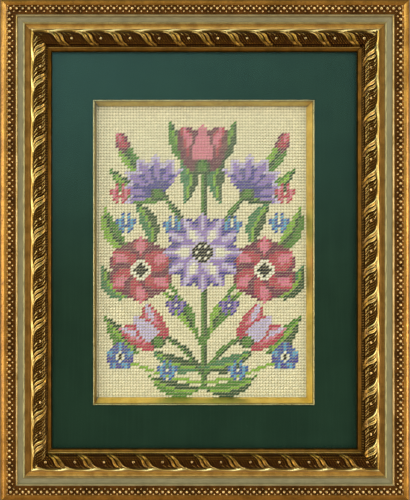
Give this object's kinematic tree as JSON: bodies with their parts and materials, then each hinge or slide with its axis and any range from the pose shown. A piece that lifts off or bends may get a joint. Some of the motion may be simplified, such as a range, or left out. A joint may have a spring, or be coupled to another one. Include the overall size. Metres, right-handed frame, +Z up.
{
  "type": "framed needlepoint canvas panel",
  "caption": "Upright rectangular needlepoint panel under glass, with a window mat, a narrow gilt fillet and a mitred gilt moulding frame with bead rows and a ribbon twist.",
  "frame": {"origin": "middle of the flat back of the top rail, on the plane that touches the wall", "axes": "+Z up, -Y out of the picture towards the room, +X to the right of someone facing the picture"},
  "size_m": [0.343, 0.0254, 0.4199],
  "materials": {
    "gilt_moulding": "wood and pressed ornament, aged gold leaf over brown, with one sage painted band",
    "gilt_fillet": "bright gold leaf on a slim wooden fillet",
    "green_mat_board": "dark green matt mat board",
    "picture_glass": "clear picture glass",
    "wool_on_canvas": "wool tent stitch on ten mesh canvas, cream ground with coloured flowers",
    "brown_hardboard": "plain brown hardboard"
  },
  "bodies": {
    "root": {"rail_top": "gilt_moulding", "rail_right": "gilt_moulding", "rail_bottom": "gilt_moulding", "rail_left": "gilt_moulding", "fillet_top": "gilt_fillet", "fillet_right": "gilt_fillet", "fillet_bottom": "gilt_fillet", "fillet_left": "gilt_fillet", "mat_board": "green_mat_board", "glass_pane": "picture_glass", "needlepoint_canvas": "wool_on_canvas", "backing_board": "brown_hardboard"}
  },
  "joints": []
}
